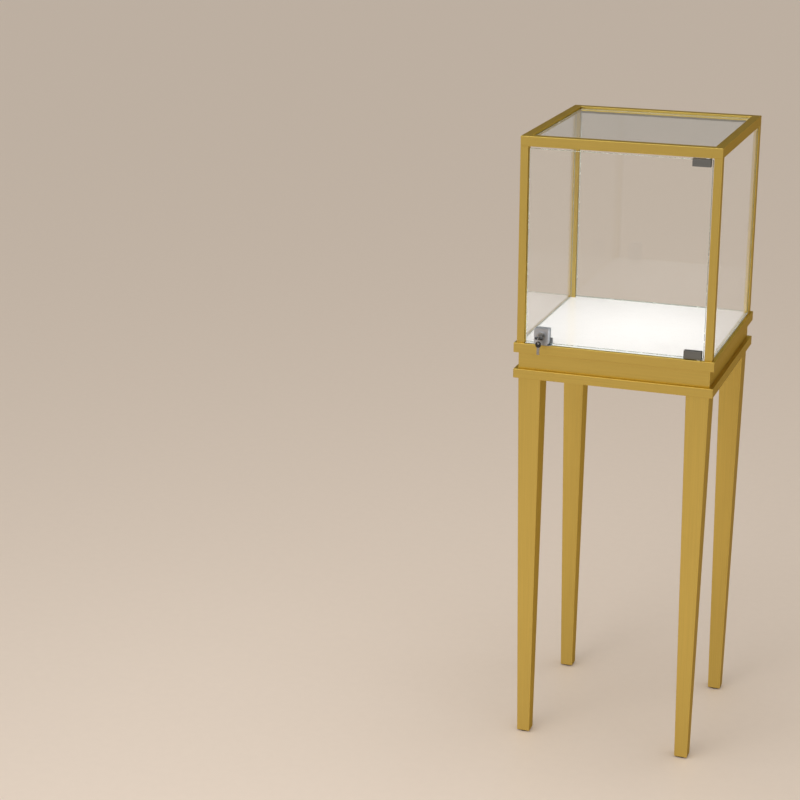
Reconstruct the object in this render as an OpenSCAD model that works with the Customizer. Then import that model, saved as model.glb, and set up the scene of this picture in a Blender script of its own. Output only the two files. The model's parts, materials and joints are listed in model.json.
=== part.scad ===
// Tall glass display showcase: a glazed case with a hinged, locking glass
// door, on a hollow plinth and a four-legged stand of brushed gold steel.
// Millimetres, +Z up, origin on the floor under the middle of the case,
// door towards -Y with its hinges on the +X side.

/* [Overall size] */
// Width of the case over its posts
case_w = 400; // [330:5:600]
// Depth of the case over its posts
case_d = 400; // [330:5:600]
// Height from the floor to the top of the case
total_h = 1300; // [1150:10:1700]
// Height from the floor to the top of the stand's frame
stand_h = 824; // [600:2:950]

/* [Stand] */
// Side of a leg where it meets the stand's frame
leg_top = 47; // [36:1:60]
// Side of a leg at its foot
leg_foot = 27; // [20:1:36]
// How far a leg's top and the plinth stand back from the posts' faces
band_inset = 3.5; // [1:0.5:8]
// Wall of the tubes and legs
wall = 1.5; // [1:0.25:2.5]
// Thickness of the nylon glide under a leg
glide_t = 3; // [2:0.5:6]
// Height of the stand's frame
stand_rail_h = 19; // [15:1:30]
// Side of the mounting plate over each leg
plate_s = 70; // [60:5:100]
// Thickness of a leg's mounting plate
plate_t = 5; // [3:0.5:6]
// Radius of the bolt that holds a leg
leg_bolt_r = 4; // [3:0.5:5]

/* [Plinth] */
// Height of the plain band between the two ledges
plinth_h = 35; // [30:1:60]
// Height of the ledge under the case
ledge_h = 20; // [18:1:30]
// How far both ledges stand out past the posts' faces
ledge_out = 5; // [3:0.5:10]
// Width of the metal lip round the deck
lip_w = 7.5; // [7:0.5:9]
// Thickness of the deck sheet
deck_t = 5; // [3:0.5:6]
// Thickness of the plinth's floor sheet
floor_t = 4; // [3:0.5:6]

/* [Case] */
// Side of a corner post
post_s = 16; // [14:1:25]
// Width of a top rail
rail_w = 18; // [16:1:28]
// Height of a top rail
rail_h = 20; // [18:1:30]
// Thickness of the glass
glass_t = 5; // [4:1:6]
// How far the glass stands back from the posts' faces
glass_in = 3; // [2.5:0.5:5]
// How far a top rail covers the glass below it
cover = 8; // [6:0.5:10]
// Thickness of the gasket round each pane
gasket_t = 1; // [0.5:0.25:2]

/* [Door] */
// Gap between the door's free edge and the post
door_gap = 2; // [1.5:0.5:4]
// Distance from the hinge pins to the post
pin_inset = 12; // [10:0.5:16]
// Radius of a hinge pin
pin_r = 2.5; // [2:0.25:3]
// Width of a hinge clip
clip_w = 36; // [30:1:50]
// Height of the upper hinge clip
clip_top_h = 15; // [12:1:25]
// Height of the lower hinge clip
clip_bottom_h = 16.5; // [12:0.5:25]
// Thickness of a hinge clip's side plates
clip_plate = 2.5; // [2:0.25:4]

/* [Lock] */
// Distance from the post to the middle of the lock
lock_inset = 38; // [30:1:80]
// Width of the lock's body
lock_w = 29; // [28:1:40]
// Height of the lock's body
lock_h = 33; // [32:1:45]
// Depth of the lock's body in front of the glass
lock_d = 14.4; // [14:0.2:20]
// Radius of the lock's cylinder
barrel_r = 7; // [7:0.25:7.5]
// How far the bolt drops when the key is turned
bolt_throw = 8; // [6:0.5:8]
// Length of a key's bow
bow_len = 12; // [11:0.5:20]
// Length of a key's metal blade
blade_len = 15; // [13:0.5:25]
// Radius of the key ring
ring_r = 5.5; // [5.5:0.5:12]

/* [Clearances] */
// Gap round the deck in its recess
deck_fit = 0.3; // [0.2:0.1:1]
// Radial clearance of a shaft that turns in a bore
run_fit = 0.05; // [0.02:0.01:0.1]
// Gap between pieces that slide or pass each other
slide_fit = 0.3; // [0.2:0.05:0.5]

/* [Hidden] */
$fn = 48;

GOLD = [0.72, 0.58, 0.28];
STEEL = [0.62, 0.62, 0.60];
DARK_STEEL = [0.42, 0.43, 0.41];
GLASS = [0.80, 0.90, 0.86, 0.30];
WHITE = [0.96, 0.96, 0.94];
BLACK = [0.08, 0.08, 0.09];
NYLON = [0.85, 0.84, 0.80];
RUBBER = [0.16, 0.16, 0.16];

eps = 0.01;               // overlap of cutters past the face they open
edge_r = 0.8;             // rounding of the folded and drawn steel edges
half_w = case_w / 2;      // outer face of the posts, side to side
half_d = case_d / 2;      // outer face of the posts, front to back

// levels, from the floor up
z_stand = stand_h - stand_rail_h;       // top of the legs
z_ledge = stand_h + plinth_h;           // underside of the ledge
z_deck = z_ledge + ledge_h;             // top of the ledge and the deck
z_shelf = z_deck - deck_t;              // recess that holds the deck
z_rail = total_h - rail_h;              // underside of the top rails
z_pane = z_rail + cover;                // top of the glazing rebate

leg_x = half_w - band_inset - leg_top / 2;
leg_y = half_d - band_inset - leg_top / 2;
post_x = half_w - post_s / 2;
post_y = half_d - post_s / 2;
stand_tube = 20;                        // width of the stand's frame tube
ledge_tube = 25;                        // width of the ledge's section
flange_w = 20;                          // width of the plinth's folded flanges
glide_stem_r = 3;
sides = [0, 90, 180, 270];              // front, right, rear, left

// the pane's plane, front to back through the thickness of the glass
pane_in = glass_in + glass_t / 2;
door_y = -half_d + pane_in;
door_front = door_y - glass_t / 2;
door_back = door_y + glass_t / 2;

// hinge
pin_x = half_w - post_s - pin_inset;
clip_past_pin = 6;                      // width of a clip beyond its pin
clip_gap_top = 2.5;                     // between the upper clip and the rail
clip_gap_bottom = 1;                    // between the lower clip and the deck
pad_t = 0.75;                           // rubber between a clip and the glass
clip_t = glass_t + 2 * (pad_t + clip_plate);
web_t = 1.5;                            // the clip's web across the glass edge
z_clip_top = z_rail - clip_gap_top;
z_clip_bottom = z_deck + clip_gap_bottom;
door_z0 = z_clip_bottom + web_t;
door_z1 = z_clip_top - web_t;
door_x0 = -half_w + post_s + door_gap;
door_x1 = pin_x + clip_past_pin + 3.5;
bush_r = 4;
bush_flange_r = 6;
bush_flange_t = 0.9;
bush_len = 8;
pin_reach = 7;                          // depth of a pin in its bush

// lock
lock_x = -half_w + post_s + lock_inset;
lock_z0 = z_deck + 3.5;
lock_z = lock_z0 + lock_h / 2;          // axis of the cylinder
lock_pad = 0.6;
lock_back = door_front - lock_pad;
lock_face = lock_back - lock_d;
barrel_lip = 1;                         // how far the cylinder stands proud
barrel_flange_r = barrel_r + 1.5;
cam_y = lock_back - 5.9;                // back of the cylinder's body
bolt_t = 3;
bolt_w = 18;
bolt_y = cam_y + slide_fit;             // front face of the bolt
cam_r = bolt_throw / sqrt(2);           // circle of the cam pin, a quarter turn apart
cam_pin_r = 1.2;
cam_slack = 0.35;                       // play of the cam pin in the bolt's slot
tongue_w = 8;
tongue_z = lock_z0 + 0.5;               // tip of the bolt when it is drawn back
bolt_z0 = lock_z - 1;
bolt_z1 = lock_z + 7.5;
back_plate_t = 2.5;
lock_screw_dx = 10;
lock_screw_z = lock_z + 12;
lock_screw_r = 1.5;

// strike
strike_t = 1.2;
strike_x0 = lock_x - 12;
strike_x1 = lock_x + lock_w / 2 + 4;
strike_y0 = -half_d - ledge_out + 0.5;
stop_y = door_back + lock_pad + back_plate_t + 1.5;
stop_t = 1.5;
stop_h = 13.5;
strike_y1 = stop_y + stop_t + 4;

// keys
key_t = 2;
blade_w = 6;
key_in = 9;                             // length of blade in the cylinder
key_tip = lock_face - barrel_lip + key_in;
bow_w = 17;
bow_t = 3;
bow_r = 4.5;
bow_y1 = key_tip - blade_len;           // where the blade enters the bow
bow_y0 = bow_y1 - bow_len;              // outer end of the bow
bow_rim = 1.5;                          // between the bow's hole and its end
bow_hole_r = 2.5;
bow_slot = 2;                           // how far the hole is drawn out inwards
ring_wire = 0.7;
ring_y = bow_y0 + bow_rim / 2;
ring_hang = 0.4;                        // air between the ring and the bow's rim
ring_z = lock_z + bow_t / 2 + ring_hang - (ring_r - ring_wire);
spare_hole_r = 2.2;
spare_w = 11;
spare_drop = 1;                         // hole's middle below the ring's wire
spare_z = ring_z - ring_r - spare_drop;

// light and wiring
channel_w = 12;
channel_h = 8;
channel_wall = 1.2;
channel_half = half_w - post_s - 18;
channel_y0 = -half_d + rail_w;
channel_z0 = z_pane - channel_h;
wire_r = 1.25;
wire_hole_r = 2.5;
wire_z_low = stand_h + plinth_h / 2;
strip_z = z_pane - channel_wall;        // underside of the channel's web
strip_t = 1;
wire_z_high = strip_z - strip_t - wire_r;
wire_turn_x = -channel_half + 12;
driver_l = 110;
driver_w = 42;
driver_h = 22;
driver_x = -60;
driver_y = 60;
driver_z = stand_h + wall + floor_t;
driver_lug = 12;
inlet_x = 120;
inlet_r = 5.5;
inlet_len = 22;
inlet_z = stand_h + plinth_h / 2;

// ---- shapes that repeat

// a rectangle in the first quadrant with rounded corners
module round_rect(w, h, r) {
  translate([r, 0]) square([w - 2 * r, h]);
  translate([0, r]) square([w, h - 2 * r]);
  for (x = [r, w - r], y = [r, h - r]) translate([x, y]) circle(r, $fn = 24);
}

// a length of section (across = inwards, up = up) with both ends mitred,
// its outer face on y = 0
module mitred(len, z0, cut = 80) {
  difference() {
    translate([-len / 2, 0, z0]) rotate([90, 0, 90]) linear_extrude(len) children();
    for (s = [-1, 1])
      translate([s * len / 2, 0, z0 - 1]) rotate([0, 0, s * 45])
        translate([s < 0 ? -cut : 0, -cut, 0]) cube([cut, 2 * cut, cut]);
  }
}

// puts a piece on one side of the case: front 0, right 90, rear 180, left 270
module on_side(turn, out = 0) {
  half = (turn % 180 == 0) ? half_d : half_w;
  rotate([0, 0, turn]) translate([0, -half - out, 0]) children();
}
function side_len(turn, out = 0) = ((turn % 180 == 0) ? case_w : case_d) + 2 * out;

module tube_section(w, h) {
  difference() {
    round_rect(w, h, edge_r);
    translate([wall, wall]) square([w - 2 * wall, h - 2 * wall]);
  }
}

// the holes that bring the lamp's wires up through the front left post
module wire_shaft(z0, z1) {
  translate([-post_x, -post_y, z0]) cylinder(r = wire_hole_r, h = z1 - z0);
}

// ---- stand

module leg(sx, sy) {
  h = z_stand - glide_t;
  inner_top = leg_top - 2 * wall;
  inner_foot = leg_foot - 2 * wall;
  cap_t = 4;
  color(GOLD) translate([sx * leg_x, sy * leg_y, glide_t]) difference() {
    union() {
      difference() {
        linear_extrude(height = h, scale = leg_top / leg_foot)
          translate([-leg_foot / 2, -leg_foot / 2]) round_rect(leg_foot, leg_foot, edge_r);
        translate([0, 0, -eps]) linear_extrude(height = h + 2 * eps, scale = inner_top / inner_foot)
          square(inner_foot, center = true);
      }
      translate([-inner_foot / 2 - wall / 2, -inner_foot / 2 - wall / 2, 0])
        cube([inner_foot + wall, inner_foot + wall, cap_t]);
      translate([-inner_top / 2 - wall / 3, -inner_top / 2 - wall / 3, h - cap_t])
        cube([inner_top + 2 * wall / 3, inner_top + 2 * wall / 3, cap_t]);
    }
    translate([0, 0, -1]) cylinder(r = glide_stem_r + run_fit, h = cap_t + 2);
    translate([0, 0, h - cap_t - 1]) cylinder(r = leg_bolt_r + run_fit, h = cap_t + 2);
  }
}

module leg_glides() {
  color(BLACK) for (sx = [-1, 1], sy = [-1, 1]) translate([sx * leg_x, sy * leg_y, 0]) {
    rotate_extrude() polygon([[0, 0], [leg_foot / 2 - 3, 0], [leg_foot / 2 - 2, 1],
                              [leg_foot / 2 - 2, glide_t], [0, glide_t]]);
    cylinder(r = glide_stem_r, h = glide_t + 14);
  }
}

module leg_plates() {
  x1 = half_w + ledge_out - stand_tube;
  y1 = half_d + ledge_out - stand_tube;
  color(STEEL) for (sx = [-1, 1], sy = [-1, 1]) difference() {
    translate([sx > 0 ? x1 - plate_s : -x1, sy > 0 ? y1 - plate_s : -y1, z_stand])
      cube([plate_s, plate_s, plate_t]);
    translate([sx * leg_x, sy * leg_y, z_stand - 1])
      cylinder(r = leg_bolt_r + slide_fit, h = plate_t + 2);
  }
}

module leg_bolts() {
  washer_t = 1.6;
  color(STEEL) for (sx = [-1, 1], sy = [-1, 1])
    translate([sx * leg_x, sy * leg_y, z_stand + plate_t]) {
      cylinder(r = 2 * leg_bolt_r, h = washer_t);
      translate([0, 0, washer_t]) cylinder(r = 1.7 * leg_bolt_r, h = 1.3 * leg_bolt_r, $fn = 6);
      translate([0, 0, -plate_t - 10]) cylinder(r = leg_bolt_r, h = plate_t + 10 + washer_t);
    }
}

module stand_rail(turn) {
  color(GOLD) on_side(turn, ledge_out)
    mitred(side_len(turn, ledge_out), z_stand) tube_section(stand_tube, stand_rail_h);
}

// ---- plinth

module plinth_panel(turn) {
  color(GOLD) difference() {
    on_side(turn, -band_inset) mitred(side_len(turn, -band_inset), stand_h) difference() {
      square([flange_w, plinth_h]);
      translate([wall, wall]) square([flange_w, plinth_h - 2 * wall]);
    }
    wire_shaft(z_ledge - wall - 1, z_ledge + 1);
    if (turn == 180)
      translate([inlet_x, half_d, inlet_z]) rotate([90, 0, 0])
        cylinder(r = inlet_r + run_fit, h = 20);
  }
}

module plinth_floor() {
  gap = 0.5;
  hx = half_w - band_inset - wall - gap;
  hy = half_d - band_inset - wall - gap;
  color(STEEL) translate([-hx, -hy, stand_h + wall]) cube([2 * hx, 2 * hy, floor_t]);
}

module ledge_section() {
  difference() {
    round_rect(ledge_tube, ledge_h, edge_r);
    translate([lip_w, ledge_h - deck_t]) square([ledge_tube, ledge_h]);
    translate([wall, wall]) square([ledge_tube - 2 * wall, ledge_h - deck_t - 2 * wall]);
    translate([wall, wall]) square([lip_w - 2 * wall, ledge_h - 2 * wall]);
  }
}

module post_seats() {
  for (sx = [-1, 1], sy = [-1, 1])
    translate([sx * post_x - post_s / 2, sy * post_y - post_s / 2, z_shelf])
      cube([post_s, post_s, deck_t + 1]);
}

module ledge(turn) {
  color(GOLD) difference() {
    on_side(turn, ledge_out) mitred(side_len(turn, ledge_out), z_ledge) ledge_section();
    post_seats();
    wire_shaft(z_ledge - 1, z_deck);
    if (turn == 0) {
      translate([pin_x, door_y, z_shelf - wall - 1])
        cylinder(r = bush_r + run_fit, h = deck_t + wall + 2);
      translate([lock_x - tongue_w / 2 - slide_fit, bolt_y - slide_fit, z_deck - wall - 1])
        cube([tongue_w + 2 * slide_fit, bolt_t + 2 * slide_fit, wall + 2]);
    }
  }
}

module deck_bearers() {
  y1 = half_d + ledge_out - ledge_tube;
  color(STEEL) for (s = [-1, 1]) translate([s * case_w / 6 - 10, y1, z_ledge])
    rotate([90, 0, 0]) linear_extrude(2 * y1) tube_section(20, ledge_h - deck_t);
}

module deck() {
  hx = half_w + ledge_out - lip_w - deck_fit;
  hy = half_d + ledge_out - lip_w - deck_fit;
  notch = post_s + deck_fit;
  color(WHITE) difference() {
    translate([-hx, -hy, z_shelf]) cube([2 * hx, 2 * hy, deck_t]);
    for (sx = [-1, 1], sy = [-1, 1])
      translate([sx > 0 ? half_w - notch : -half_w, sy > 0 ? half_d - notch : -half_d, z_shelf - 1])
        cube([notch, notch, deck_t + 2]);
    translate([pin_x, door_y, z_shelf - 1]) cylinder(r = bush_r + run_fit, h = deck_t + 2);
  }
}

// ---- case frame

module post(sx, sy) {
  inner = post_s - 2 * wall;
  step = glass_in;                      // cut back behind the top rails' skirt
  color(GOLD) difference() {
    translate([sx * post_x, sy * post_y, 0]) difference() {
      union() {
        translate([-post_s / 2, -post_s / 2, z_shelf])
          linear_extrude(z_rail - z_shelf) round_rect(post_s, post_s, edge_r);
        translate([sx > 0 ? -post_s / 2 : -post_s / 2 + step,
                   sy > 0 ? -post_s / 2 : -post_s / 2 + step, z_rail - 1])
          cube([post_s - step, post_s - step, cover + 1]);
      }
      translate([-inner / 2, -inner / 2, z_shelf - 1])
        cube([inner, inner, z_pane - z_shelf + 2]);
    }
    if (sx < 0 && sy < 0)
      translate([-post_x, -post_y, wire_z_high]) rotate([0, 90, 0])
        cylinder(r = wire_hole_r, h = post_s);
  }
}

// outer skirt over the glass, a seat for the top pane, hollow inside
module top_rail_section() {
  seat_w = 4;
  difference() {
    union() {
      difference() {
        round_rect(rail_w, rail_h, edge_r);
        translate([glass_in, -1]) square([rail_w, cover + 1]);
      }
      translate([rail_w - 1, cover]) square([seat_w + 1, wall]);
    }
    translate([wall, cover + wall])
      square([rail_w - 2 * wall, rail_h - cover - 2 * wall]);
  }
}

module top_rail(turn) {
  head_half = half_w - post_s;
  color(GOLD) difference() {
    union() {
      on_side(turn) mitred(side_len(turn), z_rail) top_rail_section();
      if (turn == 0)
        translate([-head_half, -half_d + glass_in - wall, z_rail])
          rotate([90, 0, 90]) linear_extrude(2 * head_half) difference() {
            square([rail_w - glass_in + wall, cover]);
            translate([wall, wall]) square([rail_w - glass_in - wall, cover]);
          }
    }
    if (turn == 0) {
      translate([pin_x, door_y, z_rail - 1]) cylinder(r = bush_r + run_fit, h = bush_len + 1);
      translate([wire_turn_x, channel_y0 - wall - 1, wire_z_high]) rotate([-90, 0, 0])
        cylinder(r = wire_hole_r, h = wall + 2);
    }
  }
}

// ---- glazing

pane_z0 = z_deck + gasket_t;
pane_z1 = z_pane - gasket_t;

module side_pane(turn) {
  half = side_len(turn) / 2 - post_s - gasket_t;
  color(GLASS) on_side(turn) translate([-half, glass_in, pane_z0])
    cube([2 * half, glass_t, pane_z1 - pane_z0]);
}

module pane_gaskets() {
  color(RUBBER) for (turn = [90, 180, 270]) on_side(turn) {
    half = side_len(turn) / 2 - post_s;
    difference() {
      translate([-half, glass_in, z_deck]) cube([2 * half, glass_t, z_pane - z_deck]);
      translate([-half + gasket_t, glass_in - 1, pane_z0])
        cube([2 * (half - gasket_t), glass_t + 2, pane_z1 - pane_z0]);
    }
  }
}

seat_z = z_pane + wall;
top_gap = 0.5;
top_hx = half_w - rail_w - top_gap;
top_hy = half_d - rail_w - top_gap;

module glass_top() {
  color(GLASS) translate([-top_hx, -top_hy, seat_z + gasket_t])
    cube([2 * top_hx, 2 * top_hy, glass_t]);
}

module top_gasket() {
  tape_w = 3;
  color(RUBBER) difference() {
    translate([-top_hx, -top_hy, seat_z]) cube([2 * top_hx, 2 * top_hy, gasket_t]);
    translate([-top_hx + tape_w, -top_hy + tape_w, seat_z - 1])
      cube([2 * (top_hx - tape_w), 2 * (top_hy - tape_w), gasket_t + 2]);
  }
}

// ---- light and power

module led_channel() {
  color(STEEL) difference() {
    translate([-channel_half, channel_y0, channel_z0])
      cube([2 * channel_half, channel_w, channel_h]);
    translate([-channel_half - 1, channel_y0 + channel_wall, channel_z0 - 1])
      cube([2 * channel_half + 2, channel_w - 2 * channel_wall, channel_h - channel_wall + 1]);
    translate([wire_turn_x, channel_y0 - 1, wire_z_high]) rotate([-90, 0, 0])
      cylinder(r = wire_hole_r, h = channel_wall + 2);
  }
}

module led_strip() {
  strip_w = 8;
  chip = 3;
  pitch = 14;
  mid = channel_y0 + channel_w / 2;
  count = floor((2 * channel_half - 20) / pitch);
  color([0.95, 0.90, 0.70]) {
    translate([-channel_half + 2, mid - strip_w / 2, strip_z - strip_t])
      cube([2 * channel_half - 4, strip_w, strip_t]);
    for (i = [0 : count])
      translate([(i - count / 2) * pitch - chip / 2, mid - chip / 2, strip_z - strip_t - 0.8])
        cube([chip, chip, 0.8 + eps]);
  }
}

module led_diffuser() {
  color(WHITE) translate([-channel_half + 1, channel_y0 + channel_wall, channel_z0])
    cube([2 * channel_half - 2, channel_w - 2 * channel_wall, 1.5]);
}

module led_driver() {
  color(WHITE) difference() {
    union() {
      translate([driver_x - driver_l / 2, driver_y - driver_w / 2, driver_z])
        linear_extrude(driver_h) round_rect(driver_l, driver_w, 4);
      translate([driver_x - driver_l / 2 - driver_lug, driver_y - driver_w / 2 + 10, driver_z])
        cube([driver_l + 2 * driver_lug, driver_w - 20, 2]);
    }
    for (s = [-1, 1]) translate([driver_x + s * (driver_l / 2 + driver_lug / 2), driver_y, driver_z - 1])
      cylinder(r = 2, h = 4);
  }
}

module wire_run(a, b) {
  v = b - a;
  len = norm(v);
  // the run is a little thinner than its bend, so the two never meet as tangent surfaces
  translate(a) rotate([0, acos(v[2] / len), atan2(v[1], v[0])])
    cylinder(r = 0.96 * wire_r, h = len, $fn = 16);
  translate(b) sphere(r = wire_r, $fn = 16);
}

module led_wires() {
  lamp_y = channel_y0 + channel_wall + 2;
  lamp = [[driver_x - driver_l / 2, driver_y, wire_z_low], [-post_x, driver_y, wire_z_low],
          [-post_x, -post_y, wire_z_low], [-post_x, -post_y, wire_z_high],
          [wire_turn_x, -post_y, wire_z_high], [wire_turn_x, lamp_y, wire_z_high]];
  inlet_back = half_d - band_inset - inlet_len - wire_r;
  mains = [[driver_x + driver_l / 2, driver_y, wire_z_low], [inlet_x, driver_y, wire_z_low],
           [inlet_x, inlet_back, wire_z_low]];
  color(BLACK) {
    for (i = [1 : len(lamp) - 1]) wire_run(lamp[i - 1], lamp[i]);
    // solder joint: the wire's end sits flat against the strip
    translate([wire_turn_x - 1, lamp_y - 1, strip_z - strip_t - wire_r]) cube([2, 2, wire_r]);
    for (i = [1 : len(mains) - 1]) wire_run(mains[i - 1], mains[i]);
  }
}

module power_inlet() {
  face = half_d - band_inset;
  color(BLACK) translate([inlet_x, face, inlet_z]) rotate([90, 0, 0]) difference() {
    union() {
      translate([0, 0, -2]) cylinder(r = 8, h = 2);
      cylinder(r = inlet_r, h = inlet_len);
      translate([0, 0, wall]) cylinder(r = 7.5, h = 3, $fn = 6);
    }
    difference() {
      translate([0, 0, -3]) cylinder(r = 3.2, h = 15);
      translate([0, 0, -1]) cylinder(r = 1, h = 15);
    }
  }
}

// ---- hinges

module hinge_bush(z_face, dir) {
  color(NYLON) translate([pin_x, door_y, z_face]) mirror([0, 0, dir < 0 ? 1 : 0])
    difference() {
      union() {
        translate([0, 0, -bush_flange_t]) cylinder(r = bush_flange_r, h = bush_flange_t);
        cylinder(r = bush_r, h = bush_len);
      }
      translate([0, 0, -bush_flange_t - 1]) cylinder(r = pin_r + run_fit, h = bush_len + 3);
    }
}

module hinge_clip(z_web, h, dir) {
  x0 = pin_x + clip_past_pin - clip_w;
  screw_r = clip_screw_r + run_fit;
  color(DARK_STEEL) difference() {
    translate([x0, door_y - clip_t / 2, dir > 0 ? z_web - h : z_web])
      linear_extrude(h) round_rect(clip_w, clip_t, edge_r);
    translate([x0 - 1, door_y - glass_t / 2 - pad_t, dir > 0 ? z_web - h - 1 : z_web + web_t])
      cube([clip_w + 2, glass_t + 2 * pad_t, h - web_t + 1]);
    translate([pin_x, door_y, z_web - 3]) cylinder(r = pin_r, h = 6);
    for (x = clip_screw_x)
      translate([x, door_y, z_web - dir * h / 2]) rotate([-90, 0, 0])
        cylinder(r = screw_r, h = clip_t);
  }
}
clip_screw_r = 2;
clip_screw_x = [pin_x + clip_past_pin - clip_w * 0.28, pin_x + clip_past_pin - clip_w * 0.72];

module hinge_pins() {
  color(STEEL) translate([pin_x, door_y, 0]) {
    translate([0, 0, door_z1]) cylinder(r = pin_r, h = z_rail + pin_reach - door_z1);
    translate([0, 0, z_deck - pin_reach]) cylinder(r = pin_r, h = door_z0 - z_deck + pin_reach);
  }
}

module clip_screws() {
  color(STEEL) for (x = clip_screw_x, z = [z_clip_top - clip_top_h / 2, z_clip_bottom + clip_bottom_h / 2])
    translate([x, door_y + glass_t / 2 + pad_t, z]) rotate([-90, 0, 0]) difference() {
      cylinder(r = clip_screw_r, h = clip_plate + 0.4);
      translate([0, 0, 1]) cylinder(r = 1, h = clip_plate, $fn = 6);
    }
}

module door_pads() {
  x0 = pin_x + clip_past_pin - clip_w;
  color(RUBBER) {
    for (s = [-1, 1]) {
      y0 = s < 0 ? door_front - pad_t : door_back;
      translate([x0 + 1, y0, z_clip_top - clip_top_h + 1])
        cube([clip_w - 2, pad_t, clip_top_h - web_t - 1]);
      translate([x0 + 1, y0, door_z0]) cube([clip_w - 2, pad_t, clip_bottom_h - web_t - 1]);
    }
    difference() {
      union() {
        translate([lock_x - lock_w / 2 + 1, lock_back, lock_z0 + 1])
          cube([lock_w - 2, lock_pad, lock_h - 2]);
        translate([lock_x - lock_w / 2 + 1, door_back, lock_z0 + 2.5])
          cube([lock_w - 2, lock_pad, lock_h - 5]);
      }
      lock_screw_holes(lock_screw_r + slide_fit);
    }
  }
}

// ---- door

module door_glass() {
  color(GLASS) difference() {
    translate([door_x0, door_front, door_z0])
      cube([door_x1 - door_x0, glass_t, door_z1 - door_z0]);
    lock_screw_holes(lock_screw_r + 1);
  }
}

// ---- lock

module lock_screw_holes(r) {
  for (s = [-1, 1]) translate([lock_x + s * lock_screw_dx, lock_back - 6, lock_screw_z])
    rotate([-90, 0, 0]) cylinder(r = r, h = 30);
}

module lock_body() {
  pocket_w = bolt_w + 2 * slide_fit;
  pocket_t = bolt_t + 2 * slide_fit;
  pocket_z0 = bolt_z0 - bolt_throw - slide_fit;
  tongue_slot = tongue_w + 2 * slide_fit;
  color(STEEL) difference() {
    translate([lock_x - lock_w / 2, lock_back, lock_z0]) rotate([90, 0, 0])
      linear_extrude(lock_d) round_rect(lock_w, lock_h, 2);
    translate([lock_x, lock_face - 1, lock_z]) rotate([-90, 0, 0])
      cylinder(r = barrel_r + run_fit, h = cam_y - lock_face + 1 + eps);
    translate([lock_x - pocket_w / 2, cam_y, pocket_z0])
      cube([pocket_w, pocket_t, bolt_z1 + slide_fit - pocket_z0]);
    translate([lock_x - tongue_slot / 2, cam_y, lock_z0 - 1])
      cube([tongue_slot, pocket_t, pocket_z0 - lock_z0 + 1 + eps]);
    lock_screw_holes(lock_screw_r);
  }
}

module lock_back_plate() {
  color(STEEL) difference() {
    translate([lock_x - lock_w / 2, door_back + lock_pad + back_plate_t, lock_z0 + 1.5])
      rotate([90, 0, 0]) linear_extrude(back_plate_t) round_rect(lock_w, lock_h - 3, 2);
    lock_screw_holes(lock_screw_r + run_fit);
  }
}

module lock_screws() {
  tail = 5;
  len = tail + lock_pad + glass_t + lock_pad + back_plate_t;
  color(STEEL) for (s = [-1, 1])
    translate([lock_x + s * lock_screw_dx, lock_back - tail, lock_screw_z]) rotate([-90, 0, 0]) {
      cylinder(r = lock_screw_r, h = len);
      translate([0, 0, len]) difference() {
        cylinder(r = 2.8, h = 1.2);
        translate([0, 0, 0.5]) cylinder(r = 1.1, h = 1, $fn = 6);
      }
    }
}

module lock_cylinder() {
  key_slot = slide_fit / 2;
  front = lock_face - barrel_lip;
  color(STEEL) difference() {
    union() {
      translate([lock_x, front, lock_z]) rotate([-90, 0, 0]) cylinder(r = barrel_r, h = cam_y - front);
      translate([lock_x, front, lock_z]) rotate([-90, 0, 0])
        cylinder(r = barrel_flange_r, h = barrel_lip - 0.1);
      translate([lock_x + cam_r * cos(45), cam_y - 1, lock_z + cam_r * sin(45)])
        rotate([-90, 0, 0]) cylinder(r = cam_pin_r, h = bolt_t + 1);
    }
    translate([lock_x - blade_w / 2 - key_slot, front - 1, lock_z - key_t / 2 - key_slot])
      cube([blade_w + 2 * key_slot, key_in + 1 + key_slot, key_t + 2 * key_slot]);
  }
}

module lock_bolt() {
  slot_x0 = lock_x + cam_r * cos(45) - cam_pin_r - cam_slack;
  slot_x1 = lock_x + cam_r + cam_pin_r + cam_slack;
  slot_h = 2 * (cam_pin_r + cam_slack);
  color(STEEL) difference() {
    union() {
      translate([lock_x - bolt_w / 2, bolt_y, bolt_z0]) cube([bolt_w, bolt_t, bolt_z1 - bolt_z0]);
      translate([lock_x - tongue_w / 2, bolt_y, tongue_z]) cube([tongue_w, bolt_t, bolt_z0 - tongue_z + 1]);
    }
    translate([slot_x0, bolt_y - 1, lock_z + cam_r * sin(45) - slot_h / 2])
      cube([slot_x1 - slot_x0, bolt_t + 2, slot_h]);
  }
}

module lock_strike() {
  slot_w = tongue_w + 2 * slide_fit;
  color(STEEL) difference() {
    union() {
      translate([strike_x0, strike_y0, z_deck])
        cube([strike_x1 - strike_x0, strike_y1 - strike_y0, strike_t]);
      translate([strike_x0, stop_y, z_deck]) cube([strike_x1 - strike_x0, stop_t, stop_h]);
    }
    translate([lock_x - slot_w / 2, bolt_y - slide_fit, z_deck - 1])
      cube([slot_w, bolt_t + 2 * slide_fit, strike_t + 2]);
  }
}

module fixing_screws() {
  color(STEEL) {
    // strike, screwed down into the deck behind the stop
    for (x = [strike_x0 + 5, strike_x1 - 5])
      translate([x, stop_y + stop_t + 2, z_deck + strike_t]) cylinder(r = 1.8, h = 0.8);
    // lamp driver, screwed to the plinth's floor
    for (s = [-1, 1]) translate([driver_x + s * (driver_l / 2 + driver_lug / 2), driver_y, driver_z]) {
      cylinder(r = 1.9, h = 2);
      translate([0, 0, 2]) cylinder(r = 3.2, h = 1.6);
    }
  }
}

// ---- keys

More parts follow.
